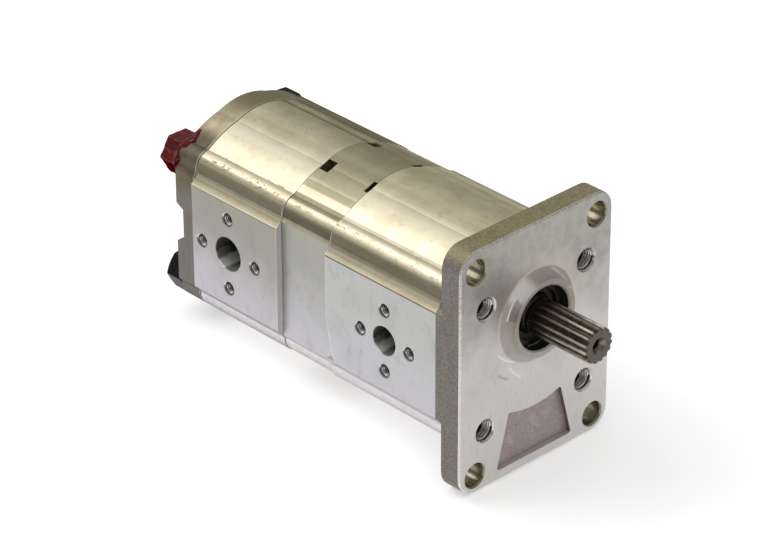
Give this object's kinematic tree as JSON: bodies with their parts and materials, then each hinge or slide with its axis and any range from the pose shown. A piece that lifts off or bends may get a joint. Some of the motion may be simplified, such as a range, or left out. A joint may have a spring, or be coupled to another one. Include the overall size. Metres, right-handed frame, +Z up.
{
  "type": "hydraulic pump",
  "caption": "Tandem external gear pump with a rectangular mounting flange, splined drive shaft and flanged side ports.",
  "frame": {"origin": "on the drive shaft's axis, at the front face of the mounting flange", "axes": "+X out along the drive shaft, +Z up from the driven gears to the shaft, -Y and +Y the port sides"},
  "size_m": [0.2341, 0.091, 0.119],
  "materials": {
    "extruded_aluminium": "mill finish with machined pads",
    "cast_aluminium": "cast, machined on its flat faces",
    "black_steel": "black oxide",
    "block_aluminium": "fine turned",
    "bush_bronze": "plain bearing",
    "seal_rubber": "matt",
    "spring_steel": "oiled",
    "shaft_steel": "ground and hardened",
    "red_lacquer": "brushed-on sealing lacquer"
  },
  "bodies": {
    "housing": {"flange_cover": "cast_aluminium", "front_housing": "extruded_aluminium", "front_stage_back_block": "block_aluminium", "front_stage_back_field_seal": "seal_rubber", "front_stage_back_lower_bush": "bush_bronze", "front_stage_back_upper_bush": "bush_bronze", "front_stage_front_block": "block_aluminium", "front_stage_front_field_seal": "seal_rubber", "front_stage_front_lower_bush": "bush_bronze", "front_stage_front_upper_bush": "bush_bronze", "joint_1_lower_dowel": "spring_steel", "joint_1_seal": "seal_rubber", "joint_1_upper_dowel": "spring_steel", "joint_2_lower_dowel": "spring_steel", "joint_2_seal": "seal_rubber", "joint_2_upper_dowel": "spring_steel", "joint_3_lower_dowel": "spring_steel", "joint_3_seal": "seal_rubber", "joint_3_upper_dowel": "spring_steel", "joint_4_lower_dowel": "spring_steel", "joint_4_seal": "seal_rubber", "joint_4_upper_dowel": "spring_steel", "long_screw_1": "black_steel", "long_screw_2": "black_steel", "long_screw_3": "black_steel", "long_screw_4": "black_steel", "middle_section": "extruded_aluminium", "rear_cover": "cast_aluminium", "rear_housing": "extruded_aluminium", "rear_stage_back_block": "block_aluminium", "rear_stage_back_field_seal": "seal_rubber", "rear_stage_back_lower_bush": "bush_bronze", "rear_stage_back_upper_bush": "bush_bronze", "rear_stage_front_block": "block_aluminium", "rear_stage_front_field_seal": "seal_rubber", "rear_stage_front_lower_bush": "bush_bronze", "rear_stage_front_upper_bush": "bush_bronze", "seal_lacquer": "red_lacquer", "seal_spring": "spring_steel", "shaft_seal": "seal_rubber", "snap_ring": "spring_steel"},
    "drive_train": {"drive_shaft": "shaft_steel", "coupling_sleeve": "shaft_steel", "rear_drive_gear": "shaft_steel"},
    "front_idler": {"front_idler_gear": "shaft_steel"},
    "rear_idler": {"rear_idler_gear": "shaft_steel"}
  },
  "joints": [
    {"name": "drive_spin", "type": "hinge", "parent": "housing", "child": "drive_train", "pos_m": [0, 0, 0], "axis": [1, 0, 0], "continuous": true},
    {"name": "front_idler_spin", "type": "hinge", "parent": "housing", "child": "front_idler", "pos_m": [0, 0, -0.031], "axis": [1, 0, 0], "continuous": true},
    {"name": "rear_idler_spin", "type": "hinge", "parent": "housing", "child": "rear_idler", "pos_m": [0, 0, -0.031], "axis": [1, 0, 0], "continuous": true}
  ],
  "couplings": [
    {"joint": "front_idler_spin", "follows": "drive_spin", "ratio": -1},
    {"joint": "rear_idler_spin", "follows": "drive_spin", "ratio": -1}
  ]
}
